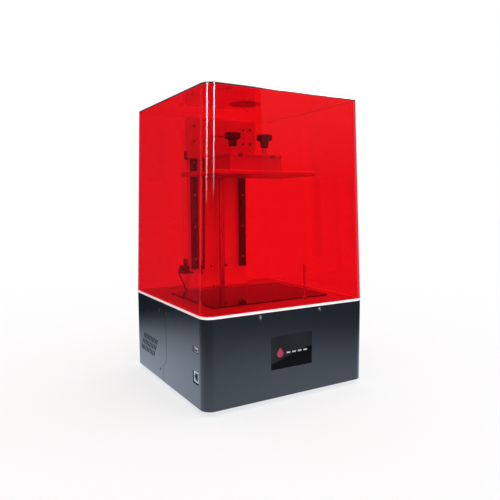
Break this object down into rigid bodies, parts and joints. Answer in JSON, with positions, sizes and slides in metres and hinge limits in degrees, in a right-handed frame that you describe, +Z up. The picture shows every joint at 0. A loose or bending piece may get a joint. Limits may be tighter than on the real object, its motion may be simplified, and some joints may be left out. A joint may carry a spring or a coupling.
{
  "type": "resin 3d printer",
  "caption": "Desktop resin printer: steel base with touch screen, tinted lift-off cover, twin-rail screw-driven platform over a flat exposure window.",
  "frame": {"origin": "on the floor under the middle of the housing", "axes": "+X to the right seen from the front, +Y from the front to the back, +Z up"},
  "size_m": [0.3, 0.299, 0.476],
  "materials": {
    "dark_paint": "satin gunmetal powder coat",
    "zinc_steel": "zinc-plated sheet steel",
    "pale_rubber": "pale soft rubber",
    "pale_band": "milky white",
    "deck_coat": "satin metallic grey",
    "black_glass": "polished black glass",
    "aluminium": "fine satin",
    "circuit": "solder mask",
    "black_plastic": "moulded black",
    "steel": "ground steel",
    "column_plate": "bright satin anodised",
    "rail_steel": "dark oiled steel",
    "cable_jacket": "black cable jacket",
    "tinted_acrylic": "clear red acrylic",
    "carriage_coat": "satin anodised",
    "arm_coat": "dark satin anodised"
  },
  "bodies": {
    "base": {"housing_front": "dark_paint", "housing_rear": "dark_paint", "floor_plate": "zinc_steel", "front_rail": "zinc_steel", "seam_bracket_left": "zinc_steel", "seam_bracket_right": "zinc_steel", "foot_front_left": "pale_rubber", "foot_front_right": "pale_rubber", "foot_back_left": "pale_rubber", "foot_back_right": "pale_rubber", "light_band": "pale_band", "deck_plate": "deck_coat", "lcd_glass": "black_glass", "lcd_panel": "black_glass", "light_box": "aluminium", "led_board": "circuit", "heat_sink": "aluminium", "led_fan_frame": "black_plastic", "exhaust_fan_frame": "black_plastic", "power_inlet": "black_plastic", "switch_body": "black_plastic", "power_supply": "zinc_steel", "mainboard": "circuit", "port_board": "circuit", "ethernet_port": "zinc_steel", "usb_port": "zinc_steel", "touch_glass": "black_glass", "display_module": "zinc_steel", "motor_bracket": "zinc_steel", "z_motor": "black_plastic", "lower_bearing": "steel", "top_bearing": "black_plastic", "column": "column_plate", "rail_left": "rail_steel", "rail_right": "rail_steel", "sensor_bracket": "black_plastic", "limit_sensor": "black_plastic", "sensor_cable": "cable_jacket"},
    "lid": {"lid_shell": "tinted_acrylic", "lid_disc": "black_plastic"},
    "carriage": {"carriage_plate": "carriage_coat", "nut_block": "carriage_coat", "ball_nut": "steel", "limit_flag": "black_plastic", "bearing_block_lower_left": "steel", "bearing_block_upper_left": "steel", "bearing_block_lower_right": "steel", "bearing_block_upper_right": "steel", "cantilever_arm": "arm_coat"},
    "platform": {"build_plate": "aluminium", "platform_bracket": "arm_coat"},
    "clamp_knob_left": {"knob_left": "black_plastic"},
    "clamp_knob_right": {"knob_right": "black_plastic"},
    "lead_screw": {"ball_screw": "steel", "shaft_coupling": "aluminium", "motor_shaft": "steel"},
    "vat_screw": {"vat_post": "steel"},
    "led_fan": {"led_fan_rotor": "black_plastic"},
    "exhaust_fan": {"exhaust_fan_rotor": "black_plastic"},
    "power_button": {"power_rocker": "black_plastic"}
  },
  "joints": [
    {"name": "lid_lift", "type": "slide", "parent": "base", "child": "lid", "axis": [0, 0, 1], "range_m": [0, 0.33]},
    {"name": "z_travel", "type": "slide", "parent": "base", "child": "carriage", "axis": [0, 0, 1], "range_m": [-0.2, 0]},
    {"name": "screw_turn", "type": "hinge", "parent": "base", "child": "lead_screw", "pos_m": [0, 0.0835, 0.2], "axis": [0, 0, 1], "range_deg": [-10, 7210]},
    {"name": "platform_release", "type": "slide", "parent": "carriage", "child": "platform", "axis": [0, -1, 0], "range_m": [0, 0.045]},
    {"name": "knob_left_turn", "type": "hinge", "parent": "platform", "child": "clamp_knob_left", "pos_m": [-0.0315, -0.0207, 0.39], "axis": [0, 0, 1], "range_deg": [0, 1080]},
    {"name": "knob_right_turn", "type": "hinge", "parent": "platform", "child": "clamp_knob_right", "pos_m": [0.0315, -0.0207, 0.39], "axis": [0, 0, 1], "range_deg": [0, 1080]},
    {"name": "vat_post_turn", "type": "hinge", "parent": "base", "child": "vat_screw", "pos_m": [0.059, -0.1015, 0.1473], "axis": [0, 0, 1], "range_deg": [0, 720]},
    {"name": "led_fan_spin", "type": "hinge", "parent": "base", "child": "led_fan", "pos_m": [0, -0.0179, 0.0589], "axis": [0, 0, 1], "continuous": true},
    {"name": "exhaust_fan_spin", "type": "hinge", "parent": "base", "child": "exhaust_fan", "pos_m": [0.075, 0.1392, 0.08], "axis": [0, 1, 0], "continuous": true},
    {"name": "power_rocker_tilt", "type": "hinge", "parent": "base", "child": "power_button", "pos_m": [-0.085, 0.143, 0.072], "axis": [1, 0, 0], "range_deg": [-20, 0]}
  ],
  "couplings": [
    {"joint": "screw_turn", "follows": "z_travel", "rad_per_m": -628.32}
  ]
}
